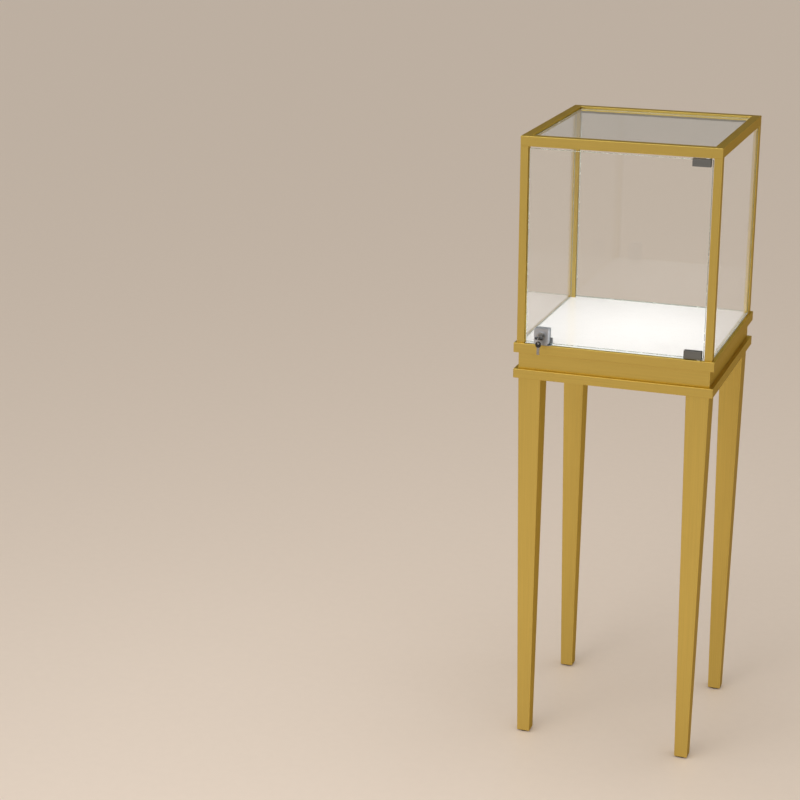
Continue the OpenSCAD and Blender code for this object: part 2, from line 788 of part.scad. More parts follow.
// a flat key along +Y: blade tip at the origin, bow at -Y, thin in Z
module key_blank(bow_width, hole_len, hole_r) {
  difference() {
    union() {
      color(STEEL) translate([-blade_w / 2, -blade_len - 3, -key_t / 2])
        cube([blade_w, blade_len + 3 - 2, key_t]);
      color(STEEL) translate([-blade_w / 2 + 1, -3, -key_t / 2]) cube([blade_w - 2, 3, key_t]);
      color(BLACK) translate([-bow_width / 2, -blade_len - bow_len, -bow_t / 2])
        linear_extrude(bow_t) round_rect(bow_width, bow_len, bow_r);
    }
    translate([0, -blade_len - bow_len + bow_rim + hole_r, -bow_t]) {
      cylinder(r = hole_r, h = 2 * bow_t);
      if (hole_len > 0) {
        translate([-hole_r, 0, 0]) cube([2 * hole_r, hole_len, 2 * bow_t]);
        translate([0, hole_len, 0]) cylinder(r = hole_r, h = 2 * bow_t);
      }
    }
  }
}

module key() {
  translate([lock_x, key_tip, lock_z]) key_blank(bow_w, bow_slot, bow_hole_r);
}

module key_ring() {
  color(STEEL) translate([lock_x, ring_y, ring_z]) rotate([0, 90, 0])
    rotate_extrude() translate([ring_r, 0]) circle(ring_wire, $fn = 16);
}

// hangs tip down from the lowest point of the ring, facing the front
module spare_key() {
  hole_to_tip = blade_len + bow_len - bow_rim - spare_hole_r;
  translate([lock_x, ring_y, spare_z - hole_to_tip]) rotate([90, 0, 0]) rotate([0, 0, 180])
    key_blank(spare_w, 0, spare_hole_r);
}

leg(-1, -1);  // leg_front_left
leg(1, -1);  // leg_front_right
leg(-1, 1);  // leg_rear_left
leg(1, 1);  // leg_rear_right
leg_glides();
leg_plates();
leg_bolts();
stand_rail(sides[0]);  // stand_rail_front
stand_rail(sides[1]);  // stand_rail_right
stand_rail(sides[2]);  // stand_rail_rear
stand_rail(sides[3]);  // stand_rail_left
plinth_panel(sides[0]);  // plinth_front
plinth_panel(sides[1]);  // plinth_right
plinth_panel(sides[2]);  // plinth_rear
plinth_panel(sides[3]);  // plinth_left
plinth_floor();
ledge(sides[0]);  // ledge_front
ledge(sides[1]);  // ledge_right
ledge(sides[2]);  // ledge_rear
ledge(sides[3]);  // ledge_left
deck_bearers();
deck();
post(-1, -1);  // post_front_left
post(1, -1);  // post_front_right
post(-1, 1);  // post_rear_left
post(1, 1);  // post_rear_right
top_rail(sides[0]);  // top_rail_front
top_rail(sides[1]);  // top_rail_right
top_rail(sides[2]);  // top_rail_rear
top_rail(sides[3]);  // top_rail_left
side_pane(sides[3]);  // glass_left
side_pane(sides[1]);  // glass_right
side_pane(sides[2]);  // glass_rear
glass_top();
pane_gaskets();
top_gasket();
led_channel();
led_strip();
led_diffuser();
led_driver();
led_wires();
power_inlet();
hinge_bush(z_rail, 1);  // hinge_bush_top
hinge_bush(z_deck, -1);  // hinge_bush_bottom
lock_strike();
fixing_screws();
door_glass();
hinge_clip(z_clip_top, clip_top_h, 1);  // hinge_clip_top
hinge_clip(z_clip_bottom, clip_bottom_h, -1);  // hinge_clip_bottom
hinge_pins();
door_pads();
clip_screws();
lock_body();
lock_back_plate();
lock_screws();
lock_cylinder();
lock_bolt();
key();
key_ring();
spare_key();
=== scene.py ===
"""The finished look of a tall glass display showcase: brushed gold frame, clear panes
with polished edges, a white deck, hinge clips, a lock with its keys, and a lamp."""

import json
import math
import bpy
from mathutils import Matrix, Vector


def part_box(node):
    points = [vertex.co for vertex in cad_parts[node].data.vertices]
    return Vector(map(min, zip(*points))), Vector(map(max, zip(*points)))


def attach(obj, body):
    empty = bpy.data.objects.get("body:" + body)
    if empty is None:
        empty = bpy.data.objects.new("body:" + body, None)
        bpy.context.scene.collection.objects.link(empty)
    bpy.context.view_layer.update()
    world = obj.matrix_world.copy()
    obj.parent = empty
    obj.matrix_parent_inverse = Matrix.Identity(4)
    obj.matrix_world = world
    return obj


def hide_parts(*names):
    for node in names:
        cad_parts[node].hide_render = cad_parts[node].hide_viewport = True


bl_info = {
    "name": "Glass Display Showcase",
    "version": (1, 0, 0),
    "blender": (4, 5, 0),
    "location": "View3D > Sidebar > Showcase",
    "description": "Dresses the showcase: frame, glass, deck, hinges, lock, keys, lamp and studio",
    "category": "Object",
}

import bpy
from bpy.props import FloatProperty, FloatVectorProperty, IntProperty, PointerProperty
from mathutils import Vector

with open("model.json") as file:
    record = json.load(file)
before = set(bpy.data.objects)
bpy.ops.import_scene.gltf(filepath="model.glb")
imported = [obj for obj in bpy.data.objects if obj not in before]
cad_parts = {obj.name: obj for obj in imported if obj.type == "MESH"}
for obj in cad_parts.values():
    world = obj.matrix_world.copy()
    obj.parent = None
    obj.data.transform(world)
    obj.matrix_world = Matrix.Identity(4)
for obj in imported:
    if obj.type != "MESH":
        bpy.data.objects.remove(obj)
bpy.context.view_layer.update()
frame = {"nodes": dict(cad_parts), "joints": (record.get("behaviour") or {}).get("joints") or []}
NODES = frame["nodes"]
JOINTS = {joint["name"]: joint for joint in frame["joints"]}
MM = 0.001
X, Y, Z = 0, 1, 2
AXES = "xyz"

BLADE_LONG = 17 * MM
BLADE_WIDE = 5.8 * MM
BLADE_THICK = 1.8 * MM
NOTCH_RADIUS = 1.3 * MM
NOTCH_PITCH = 1.9 * MM
FIRST_NOTCH = 2.2 * MM
NOTCH_DEPTHS = [depth * MM for depth in (0.9, 0.4, 1.1, 0.6, 0.8, 0.5)]
GROOVE = 0.4 * MM
BOW_LONG = 12 * MM
BOW_CORNER = 4.4 * MM
BOW_RIM = 1.5 * MM
BOW_PANEL_RIM = 1.1 * MM
BOW_CUT = 8 * MM  # longer than a bow is thick, so a hole goes right through
GROOVE_FROM, GROOVE_TO = 0.28, 0.10  # parts of the blade's width, from its middle
GROOVE_LONG = 0.7  # part of the blade's length
KEY_EDGE = 0.12 * MM
BOW_EDGE = 0.3 * MM

COLLAR_PLAY = 0.2 * MM
COLLAR_WALL = 1.8 * MM
COLLAR_HIGH = 0.8 * MM
COLLAR_SUNK = 0.3 * MM

RING_PLAY = 0.05 * MM
RING_WIRE_FILL = 0.96

WELD_WITHIN = 0.005 * MM
FLAT_WITHIN = math.radians(1)
ROUND_ABOVE = math.radians(35)
SMOOTH_BELOW = math.radians(50)

GLASS_IOR = 1.45
GLASS_TINT = (0.994, 0.998, 0.995)
GLASS_SHADE = (0.985, 0.99, 0.985)
EDGE_SHADE = (0.8, 0.9, 0.85)

STREAK_STRETCH = 90  # how many times longer than wide a streak is
GRAIN_POLISH, GRAIN_DULL = 0.06, 0.05  # roughness taken off and put on by the grain
CLOUD_DULL = 0.04
BRUSH_DEPTH = 0.02 * MM
GOLD_RIM = (0.46, 0.37, 0.27)
NYLON_BLACK = (0.030, 0.030, 0.032)

ROOM_BRIGHT = (0.80, 0.785, 0.76)
ROOM_DIM = (0.34, 0.32, 0.29)
BEYOND = (-0.33, 0.88, 0.40)
BEHIND_CAMERA = (0.30, -1.0, 0.12)


# ---------------------------------------------------------------- settings


class ShowcaseSizes(bpy.types.PropertyGroup):
    """Small sizes that the finished pieces add to the frame."""

    arris: FloatProperty(
        name="Glass arris",
        description="Width of the ground edge of a pane",
        default=0.8 * MM,
        min=0.2 * MM,
        max=2 * MM,
        unit="LENGTH",
    )
    frame_edge: FloatProperty(
        name="Frame edge",
        description="Rounding of the long edges of the gold frame",
        default=0.7 * MM,
        min=0.1 * MM,
        max=1.5 * MM,
        unit="LENGTH",
    )
    soft_edge: FloatProperty(
        name="Hardware edge",
        description="Rounding of the edges of hinge and lock pieces",
        default=0.7 * MM,
        min=0.1 * MM,
        max=1.5 * MM,
        unit="LENGTH",
    )
    fine_edge: FloatProperty(
        name="Fine edge",
        description="Rounding of the edges of small pieces",
        default=0.25 * MM,
        min=0.05 * MM,
        max=0.6 * MM,
        unit="LENGTH",
    )
    bow_recess: FloatProperty(
        name="Key bow recess",
        description="Depth of the sunk panel on each face of a key's bow",
        default=0.4 * MM,
        min=0.1 * MM,
        max=0.8 * MM,
        unit="LENGTH",
    )
    key_cuts: IntProperty(
        name="Key cuts",
        description="Number of notches along a key's blade",
        default=4,
        min=2,
        max=6,
    )


class ShowcaseColours(bpy.types.PropertyGroup):
    """Base colours, in linear light."""

    gold: FloatVectorProperty(
        name="Gold",
        description="Brushed gold of the frame",
        default=(0.660, 0.487, 0.125),
        min=0,
        max=1,
        size=3,
        subtype="COLOR",
    )
    hinge: FloatVectorProperty(
        name="Hinge steel",
        description="Dark satin steel of the hinge clips",
        default=(0.205, 0.212, 0.210),
        min=0,
        max=1,
        size=3,
        subtype="COLOR",
    )
    lock: FloatVectorProperty(
        name="Lock steel",
        description="Satin silver of the lock",
        default=(0.51, 0.545, 0.60),
        min=0,
        max=1,
        size=3,
        subtype="COLOR",
    )
    deck: FloatVectorProperty(
        name="Deck",
        description="White acrylic of the deck",
        default=(0.94, 0.935, 0.935),
        min=0,
        max=1,
        size=3,
        subtype="COLOR",
    )
    glass_edge: FloatVectorProperty(
        name="Glass edge",
        description="Green tint that shows along the edges of a pane",
        default=(0.74, 0.86, 0.80),
        min=0,
        max=1,
        size=3,
        subtype="COLOR",
    )
    floor: FloatVectorProperty(
        name="Floor",
        description="Pale studio floor",
        default=(0.78, 0.665, 0.565),
        min=0,
        max=1,
        size=3,
        subtype="COLOR",
    )


class ShowcaseStudio(bpy.types.PropertyGroup):
    """Camera and light of the studio."""

    camera_place: FloatVectorProperty(
        name="Camera place",
        description="Where the camera stands",
        default=(0.8885, -3.8149, 1.9734),
        size=3,
        subtype="TRANSLATION",
        unit="LENGTH",
    )
    camera_turn: FloatProperty(
        name="Camera turn",
        description="Turn of the camera to the left of straight ahead",
        default=math.radians(20.35),
        subtype="ANGLE",
        unit="ROTATION",
    )
    camera_tilt: FloatProperty(
        name="Camera tilt",
        description="Tilt of the camera below level",
        default=math.radians(17.91),
        subtype="ANGLE",
        unit="ROTATION",
    )
    camera_lens: FloatProperty(
        name="Camera lens",
        description="Focal length in millimetres on a 36 mm sensor",
        default=87.09,
        min=20,
        max=200,
    )
    lamp_power: FloatProperty(
        name="Studio lamps",
        description="Power of the main soft lamp, in watts",
        default=11,
        min=0,
        max=2000,
    )
    room_light: FloatProperty(
        name="Room light",
        description="Strength of the light that comes from all round",
        default=1.05,
        min=0,
        max=4,
    )
    case_lamp_power: FloatProperty(
        name="Case lamp",
        description="Power of the lamp inside the case, in watts",
        default=1.2,
        min=0,
        max=20,
    )


def sizes():
    return bpy.context.scene.showcase_sizes


def colours():
    return bpy.context.scene.showcase_colours


def studio():
    return bpy.context.scene.showcase_studio


# ---------------------------------------------------------------- modelling


def select_only(piece):
    """Leaves one object selected and active."""
    bpy.ops.object.select_all(action="DESELECT")
    piece.select_set(True)
    bpy.context.view_layer.objects.active = piece


def settle(piece, name):
    """Names a piece and bakes its place, turn and size into its mesh."""
    piece.name = name
    piece.data.name = name
    select_only(piece)
    bpy.ops.object.transform_apply(location=True, rotation=True, scale=True)
    return piece


def block(name, low, high):
    """A box between two corners, ready to be shaped."""
    low, high = Vector(low), Vector(high)
    bpy.ops.object.select_all(action="DESELECT")
    bpy.ops.mesh.primitive_cube_add(size=1, location=(low + high) / 2)
    piece = bpy.context.active_object
    piece.scale = high - low
    return settle(piece, name)


def drum(name, centre, radius, length, axis=Y, sides=48):
    """A round bar whose middle is at centre, along one axis."""
    turn = {X: (0, math.pi / 2, 0), Y: (math.pi / 2, 0, 0), Z: (0, 0, 0)}[axis]
    bpy.ops.object.select_all(action="DESELECT")
    bpy.ops.mesh.primitive_cylinder_add(
        vertices=sides, radius=radius, depth=length, location=centre, rotation=turn
    )
    return settle(bpy.context.active_object, name)


def pick_edges(piece, wanted):
    """Selects the edges for which wanted(middle, direction) is true."""
    mesh = piece.data
    for item in [*mesh.vertices, *mesh.edges, *mesh.polygons]:
        item.select = False
    for edge in mesh.edges:
        a, b = (mesh.vertices[v].co for v in edge.vertices)
        edge.select = wanted((a + b) / 2, (b - a).normalized())


def pick_faces(piece, wanted):
    """Selects the faces for which wanted(middle, normal) is true."""
    mesh = piece.data
    for item in [*mesh.vertices, *mesh.edges, *mesh.polygons]:
        item.select = False
    for face in mesh.polygons:
        face.select = wanted(face.center, face.normal)


def in_edit(piece, mode, action):
    """Runs one edit-mode action on what is selected in the piece."""
    select_only(piece)
    bpy.context.tool_settings.mesh_select_mode = (False, mode == "EDGE", mode == "FACE")
    bpy.ops.object.mode_set(mode="EDIT")
    action()
    bpy.ops.object.mode_set(mode="OBJECT")


def round_edges(piece, width, segments, wanted):
    """Rounds the edges for which wanted(middle, direction) is true."""
    pick_edges(piece, wanted)
    in_edit(
        piece,
        "EDGE",
        lambda: bpy.ops.mesh.bevel(offset=width, segments=segments, affect="EDGES"),
    )


def sink_faces(piece, margin, depth, wanted):
    """Insets the chosen faces and pushes them in by depth."""
    pick_faces(piece, wanted)
    in_edit(piece, "FACE", lambda: bpy.ops.mesh.inset(thickness=margin, depth=-depth))


def add_modifier(piece, kind, **values):
    """Adds a modifier with the given values and applies it."""
    select_only(piece)
    modifier = piece.modifiers.new(kind.title(), kind)
    for key, value in values.items():
        setattr(modifier, key, value)
    bpy.ops.object.modifier_apply(modifier=modifier.name)


def soften(piece, width, segments=2):
    """Rounds every sharp edge of a piece."""
    add_modifier(
        piece,
        "BEVEL",
        width=width,
        segments=segments,
        limit_method="ANGLE",
        angle_limit=ROUND_ABOVE,
    )


def cut(piece, cutter):
    """Takes the cutter's shape out of the piece, and removes the cutter."""
    add_modifier(piece, "BOOLEAN", object=cutter, operation="DIFFERENCE", solver="EXACT")
    bpy.data.objects.remove(cutter)


def join(name, pieces):
    """Makes one piece out of several."""
    bpy.ops.object.select_all(action="DESELECT")
    for piece in pieces:
        piece.select_set(True)
    bpy.context.view_layer.objects.active = pieces[0]
    bpy.ops.object.join()
    pieces[0].name = name
    pieces[0].data.name = name
    return pieces[0]


def clean_copy(node, name):
    """A copy of a frame piece with its loose triangles merged and its flats made whole."""
    piece = bpy.data.objects.new(name, NODES[node].data.copy())
    bpy.context.scene.collection.objects.link(piece)
    piece.data.name = name
    piece.data.materials.clear()
    pick_faces(piece, lambda middle, normal: True)

    def mend():
        bpy.ops.mesh.select_all(action="SELECT")
        bpy.ops.mesh.remove_doubles(threshold=WELD_WITHIN)
        bpy.ops.mesh.customdata_custom_splitnormals_clear()
        bpy.ops.mesh.dissolve_limited(angle_limit=FLAT_WITHIN)

    in_edit(piece, "FACE", mend)
    return piece


def finish_piece(piece, body, material, replaces=(), flat=False):
    """Gives a piece its material and its body, and hides the frame pieces it stands for."""
    if material is not None:
        piece.data.materials.clear()
        piece.data.materials.append(material)
    select_only(piece)
    if flat:
        bpy.ops.object.shade_flat()
    else:
        bpy.ops.object.shade_smooth_by_angle(angle=SMOOTH_BELOW)
        add_modifier(piece, "WEIGHTED_NORMAL", weight=100, keep_sharp=True)
    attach(piece, body)
    if replaces:
        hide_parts(*replaces)
    return piece


def paint(node, material):
    """Gives a frame piece that stays its finish."""
    piece = NODES[node]
    piece.data.materials.clear()
    piece.data.materials.append(material)


# ---------------------------------------------------------------- shader groups


def new_group(name, inputs, outputs):
    """An empty node group with named sockets, given as (name, kind, value)."""
    group = bpy.data.node_groups.new(name, "ShaderNodeTree")
    for label, kind, value in inputs:
        socket = group.interface.new_socket(name=label, in_out="INPUT", socket_type=kind)
        socket.default_value = value
    for label, kind in outputs:
        group.interface.new_socket(name=label, in_out="OUTPUT", socket_type=kind)
    return group, group.nodes.new("NodeGroupInput"), group.nodes.new("NodeGroupOutput")


def add_node(tree, kind, values=None, **settings):
    """A node with some settings and some constant inputs."""
    node = tree.nodes.new(kind)
    for key, value in settings.items():
        setattr(node, key, value)
    for key, value in (values or {}).items():
        node.inputs[key].default_value = value
    return node


def brushed_group():
    """Long streaks left by a brushing belt: a broad tone, a fine grain and its height."""
    name = "Brushed grain"
    if name in bpy.data.node_groups:
        return bpy.data.node_groups[name]
    tree, start, end = new_group(
        name,
        [
            ("Vector", "NodeSocketVector", (0, 0, 0)),
            ("Stretch", "NodeSocketVector", (1, 1, 1)),
            ("Fineness", "NodeSocketFloat", 1.0),
        ],
        [
            ("Tone", "NodeSocketFloat"),
            ("Grain", "NodeSocketFloat"),
            ("Cloud", "NodeSocketFloat"),
        ],
    )
    link = tree.links.new
    stretched = add_node(tree, "ShaderNodeVectorMath", operation="MULTIPLY")
    link(start.outputs["Vector"], stretched.inputs[0])
    link(start.outputs["Stretch"], stretched.inputs[1])
    broad = add_node(tree, "ShaderNodeTexNoise", {"Scale": 1.0, "Detail": 3.0, "Roughness": 0.55})
    link(stretched.outputs[0], broad.inputs["Vector"])
    finer = add_node(tree, "ShaderNodeVectorMath", operation="SCALE")
    link(stretched.outputs[0], finer.inputs[0])
    link(start.outputs["Fineness"], finer.inputs["Scale"])
    grain = add_node(tree, "ShaderNodeTexNoise", {"Scale": 1.0, "Detail": 2.0, "Roughness": 0.6})
    link(finer.outputs[0], grain.inputs["Vector"])
    cloud = add_node(tree, "ShaderNodeTexNoise", {"Scale": 7.0, "Detail": 2.0})
    link(start.outputs["Vector"], cloud.inputs["Vector"])
    for texture, label in ((broad, "Tone"), (grain, "Grain"), (cloud, "Cloud")):
        spread = add_node(
            tree, "ShaderNodeMapRange", {"From Min": 0.3, "From Max": 0.7}, clamp=True
        )
        link(texture.outputs["Fac"], spread.inputs["Value"])
        link(spread.outputs["Result"], end.inputs[label])
    return tree


def marks_group():
    """Soft patches of handling and cleaning, with fine speckle."""
    name = "Handling marks"
    if name in bpy.data.node_groups:
        return bpy.data.node_groups[name]
    tree, start, end = new_group(
        name,
        [
            ("Vector", "NodeSocketVector", (0, 0, 0)),
            ("Patch Scale", "NodeSocketFloat", 20.0),
            ("Speckle Scale", "NodeSocketFloat", 900.0),
        ],
        [("Patches", "NodeSocketFloat"), ("Speckle", "NodeSocketFloat")],
    )
    link = tree.links.new
    for scale, detail, mask in (("Patch Scale", 4.0, "Patches"), ("Speckle Scale", 1.0, "Speckle")):
        texture = add_node(tree, "ShaderNodeTexNoise", {"Detail": detail})
        link(start.outputs["Vector"], texture.inputs["Vector"])
        link(start.outputs[scale], texture.inputs["Scale"])
        spread = add_node(
            tree, "ShaderNodeMapRange", {"From Min": 0.35, "From Max": 0.65}, clamp=True
        )
        link(texture.outputs["Fac"], spread.inputs["Value"])
        link(spread.outputs["Result"], end.inputs[mask])
    return tree


def new_material(name):
    """A material with a Principled shader, and object coordinates to feed its patterns."""
    material = bpy.data.materials.new(name)
    material.use_nodes = True
    tree = material.node_tree
    shader = tree.nodes["Principled BSDF"]
    place = tree.nodes.new("ShaderNodeTexCoord")
    return material, tree, shader, place.outputs["Object"]


def blend_colours(tree, mask, low, high):
    """A colour between two constants, by a mask."""
    mix = add_node(tree, "ShaderNodeMix", data_type="RGBA")
    first, second = [socket for socket in mix.inputs if socket.type == "RGBA"]
    first.default_value = (*low, 1)
    second.default_value = (*high, 1)
    tree.links.new(mask, mix.inputs["Factor"])
    return [socket for socket in mix.outputs if socket.type == "RGBA"][0]


def blend_values(tree, mask, low, high):
    """A value between two constants, by a mask from 0 to 1."""
    spread = add_node(tree, "ShaderNodeMapRange", {"To Min": low, "To Max": high}, clamp=True)
    tree.links.new(mask, spread.inputs["Value"])
    return spread.outputs["Result"]


def shade(colour, amount):
    """A colour made darker or lighter by a factor."""
    return tuple(min(1.0, c * amount) for c in colour)


def emboss(tree, shader, height, depth, strength):
    """Turns a height pattern into fine relief on the shader."""
    bump = add_node(tree, "ShaderNodeBump", {"Strength": strength, "Distance": depth})
    tree.links.new(height, bump.inputs["Height"])
    tree.links.new(bump.outputs["Normal"], shader.inputs["Normal"])


def brushed_metal(
    name, colour, along, roughness, contrast, pitch, fineness=5.0, rim=(1, 1, 1)
):
    """Metal with brushing streaks along X, Y or Z. The rim tints what it shows at a slant."""
    if name in bpy.data.materials:
        return bpy.data.materials[name]
    material, tree, shader, place = new_material(name)
    grain = add_node(tree, "ShaderNodeGroup", node_tree=brushed_group())
    stretch = [pitch] * 3
    stretch[along] = pitch / STREAK_STRETCH
    grain.inputs["Stretch"].default_value = stretch
    grain.inputs["Fineness"].default_value = fineness
    tree.links.new(place, grain.inputs["Vector"])
    tone = blend_colours(
        tree, grain.outputs["Tone"], shade(colour, 1 - contrast), shade(colour, 1 + contrast)
    )
    tree.links.new(tone, shader.inputs["Base Color"])
    fine = blend_values(
        tree, grain.outputs["Grain"], roughness - GRAIN_POLISH, roughness + GRAIN_DULL
    )
    cloud = blend_values(tree, grain.outputs["Cloud"], 0.0, CLOUD_DULL)
    rough = add_node(tree, "ShaderNodeMath", operation="ADD")
    tree.links.new(fine, rough.inputs[0])
    tree.links.new(cloud, rough.inputs[1])
    tree.links.new(rough.outputs["Value"], shader.inputs["Roughness"])
    emboss(tree, shader, grain.outputs["Grain"], BRUSH_DEPTH, strength=0.35)
    shader.inputs["Metallic"].default_value = 1.0
    shader.inputs["Specular Tint"].default_value = (*rim, 1)
    return material


def moulded(name, colour, roughness, contrast=0.05, speckle=1200.0, depth=0.03 * MM, coat=0.0):
    """Moulded, cast, plated or painted surface with fine speckle and faint handling marks."""
    if name in bpy.data.materials:
        return bpy.data.materials[name]
    material, tree, shader, place = new_material(name)
    marks = add_node(tree, "ShaderNodeGroup", node_tree=marks_group())
    marks.inputs["Patch Scale"].default_value = 45.0
    marks.inputs["Speckle Scale"].default_value = speckle
    tree.links.new(place, marks.inputs["Vector"])
    tone = blend_colours(
        tree, marks.outputs["Patches"], shade(colour, 1 - contrast), shade(colour, 1 + contrast)
    )
    tree.links.new(tone, shader.inputs["Base Color"])
    rough = blend_values(
        tree, marks.outputs["Patches"], roughness - contrast / 2, roughness + contrast / 2
    )
    tree.links.new(rough, shader.inputs["Roughness"])
    emboss(tree, shader, marks.outputs["Speckle"], depth, strength=0.5)
    shader.inputs["Coat Weight"].default_value = coat
    return material


def lamp_light_through(tree, shader, tint):
    """Lets the light of lamps through a glass shader, so that what is inside is lit."""
    output = tree.nodes["Material Output"]
    path = tree.nodes.new("ShaderNodeLightPath")
    clear = add_node(tree, "ShaderNodeBsdfTransparent", {"Color": (*tint, 1)})
    mix = tree.nodes.new("ShaderNodeMixShader")
    tree.links.new(path.outputs["Is Shadow Ray"], mix.inputs["Fac"])
    tree.links.new(shader.outputs["BSDF"], mix.inputs[1])
    tree.links.new(clear.outputs["BSDF"], mix.inputs[2])
    tree.links.new(mix.outputs["Shader"], output.inputs["Surface"])


def clear_glass():
    """Clear float glass with the faintest trace of wiping."""
    name = "Clear glass"
    if name in bpy.data.materials:
        return bpy.data.materials[name]
    material, tree, shader, place = new_material(name)
    marks = add_node(tree, "ShaderNodeGroup", node_tree=marks_group())
    marks.inputs["Patch Scale"].default_value = 9.0
    tree.links.new(place, marks.inputs["Vector"])
    rough = blend_values(tree, marks.outputs["Patches"], 0.0, 0.012)
    tree.links.new(rough, shader.inputs["Roughness"])
    shader.inputs["Base Color"].default_value = (*GLASS_TINT, 1)
    shader.inputs["IOR"].default_value = GLASS_IOR
    shader.inputs["Transmission Weight"].default_value = 1.0
    lamp_light_through(tree, shader, GLASS_SHADE)
    return material


def glass_edge():
    """Ground and polished edge of a pane, where the glass shows its green."""
    name = "Glass edge"
    if name in bpy.data.materials:
        return bpy.data.materials[name]
    material, tree, shader, place = new_material(name)
    marks = add_node(tree, "ShaderNodeGroup", node_tree=marks_group())
    marks.inputs["Patch Scale"].default_value = 60.0
    tree.links.new(place, marks.inputs["Vector"])
    colour = tuple(colours().glass_edge)
    tone = blend_colours(tree, marks.outputs["Patches"], shade(colour, 0.9), shade(colour, 1.1))
    tree.links.new(tone, shader.inputs["Base Color"])
    rough = blend_values(tree, marks.outputs["Patches"], 0.18, 0.30)
    tree.links.new(rough, shader.inputs["Roughness"])
    shader.inputs["IOR"].default_value = GLASS_IOR
    shader.inputs["Transmission Weight"].default_value = 0.7
    lamp_light_through(tree, shader, EDGE_SHADE)
    return material


def glowing(name, colour, glow, strength):
    """A milky plastic that gives light."""
    material = moulded(name, colour, 0.4)
    shader = material.node_tree.nodes["Principled BSDF"]
    shader.inputs["Emission Color"].default_value = (*glow, 1)
    shader.inputs["Emission Strength"].default_value = strength
    return material


def gold(along):
    """Brushed gold with its streaks along one axis."""
    label = "XYZ"[along].lower()
    colour = tuple(colours().gold)
    return brushed_metal(
        f"Brushed gold {label}",
        colour,
        along,
        roughness=0.36,
        contrast=0.035,
        pitch=450.0,
        fineness=4.0,
        rim=GOLD_RIM,
    )


def hardware_steel(name="Bright steel", colour=(0.52, 0.52, 0.51), along=Z, roughness=0.28):
    return brushed_metal(
        name, colour, along, roughness, contrast=0.06, pitch=900.0, fineness=3.0
    )


def fine_steel(name, colour, roughness):
    """Satin steel with close streaks across the object."""
    return brushed_metal(
        name, tuple(colour), X, roughness, contrast=0.05, pitch=900.0, fineness=3.0
    )


def black_nylon():
    return moulded("Black nylon", NYLON_BLACK, 0.45)


# ---------------------------------------------------------------- pieces


class SHOWCASE_OT_gold_frame(bpy.types.Operator):
    """Gives legs, rails, ledges, plinth and posts their brushed gold, streaked along each piece"""

    bl_idname = "showcase.gold_frame"
    bl_label = "Gold frame"

    def execute(self, context):
        across = ("front", "rear")
        for node in list(NODES):
            kind, _, side = node.rpartition("_")
            if node.startswith(("leg_front", "leg_rear", "post_")):
                along = Z
            elif kind in ("stand_rail", "plinth", "ledge", "top_rail") and side != "floor":
                along = X if side in across else Y
            else:
                continue
            piece = clean_copy(node, f"gold_{node}")
            soften(piece, sizes().frame_edge)
            finish_piece(piece, "case", gold(along), [node])
        return {"FINISHED"}


class SHOWCASE_OT_stand_hardware(bpy.types.Operator):
    """Finishes the glides, plates, bolts and bearers of the stand and plinth"""

    bl_idname = "showcase.stand_hardware"
    bl_label = "Stand hardware"

    def execute(self, context):
        zinc = hardware_steel("Zinc plated steel", (0.50, 0.51, 0.50), X, 0.38)
        for node in ("leg_plates", "leg_bolts", "plinth_floor", "deck_bearers", "fixing_screws"):
            paint(node, zinc)
        glides = clean_copy("leg_glides", "nylon_glides")
        soften(glides, sizes().fine_edge)
        finish_piece(glides, "case", black_nylon(), ["leg_glides"])
        return {"FINISHED"}


def make_pane(name, node, body):
    """A pane with a ground arris all round, its edge in a green-tinted finish."""
    low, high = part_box(node)
    pane = block(name, low, high)
    thin = min(range(3), key=lambda axis: high[axis] - low[axis])
    round_edges(pane, sizes().arris, 1, lambda middle, direction: True)
    pane.data.materials.append(clear_glass())
    pane.data.materials.append(glass_edge())
    for face in pane.data.polygons:
        face.material_index = 0 if abs(face.normal[thin]) > 0.99 else 1
    return finish_piece(pane, body, None, [node], flat=True)


class SHOWCASE_OT_fixed_panes(bpy.types.Operator):
    """Makes the left, right, rear and top panes and their seals"""

    bl_idname = "showcase.fixed_panes"
    bl_label = "Fixed panes"

    def execute(self, context):
        for side in ("left", "right", "rear", "top"):
            make_pane(f"pane_{side}", f"glass_{side}", "case")
        seal = moulded("Clear seal", (0.55, 0.55, 0.50), 0.35)
        for node in ("pane_gaskets", "top_gasket"):
            paint(node, seal)
        return {"FINISHED"}


class SHOWCASE_OT_glass_door(bpy.types.Operator):
    """Makes the frameless glass door"""

    bl_idname = "showcase.glass_door"
    bl_label = "Glass door"

    def execute(self, context):
        make_pane("pane_door", "door_glass", "door")
        return {"FINISHED"}


class SHOWCASE_OT_deck(bpy.types.Operator):
    """Makes the white acrylic deck with its softened rim"""

    bl_idname = "showcase.deck"
    bl_label = "Deck"

    def execute(self, context):
        deck = clean_copy("deck", "white_deck")
        soften(deck, 2 * sizes().fine_edge)
        colour = tuple(colours().deck)
        white = moulded(
            "White acrylic",
            colour,
            0.12,
            contrast=0.008,
            speckle=500.0,
            depth=0.002 * MM,
            coat=0.3,
        )
        finish_piece(deck, "case", white, ["deck"])
        return {"FINISHED"}


class SHOWCASE_OT_hinges(bpy.types.Operator):
    """Makes the two hinge clips, their screws, pins, pads and bushes"""

    bl_idname = "showcase.hinges"
    bl_label = "Hinges"

    def execute(self, context):
        satin = fine_steel("Hinge steel", colours().hinge, 0.42)
        for level in ("top", "bottom"):
            clip = clean_copy(f"hinge_clip_{level}", f"clip_{level}")
            soften(clip, sizes().soft_edge, 3)
            finish_piece(clip, "door", satin, [f"hinge_clip_{level}"])
        nylon = moulded("White nylon", (0.74, 0.73, 0.68), 0.42)
        rubber = moulded("Black rubber", (0.035, 0.035, 0.035), 0.7)
        paint("hinge_bush_top", nylon)
        paint("hinge_bush_bottom", nylon)
        paint("hinge_pins", hardware_steel())
        paint("clip_screws", hardware_steel())
        paint("door_pads", rubber)
        return {"FINISHED"}


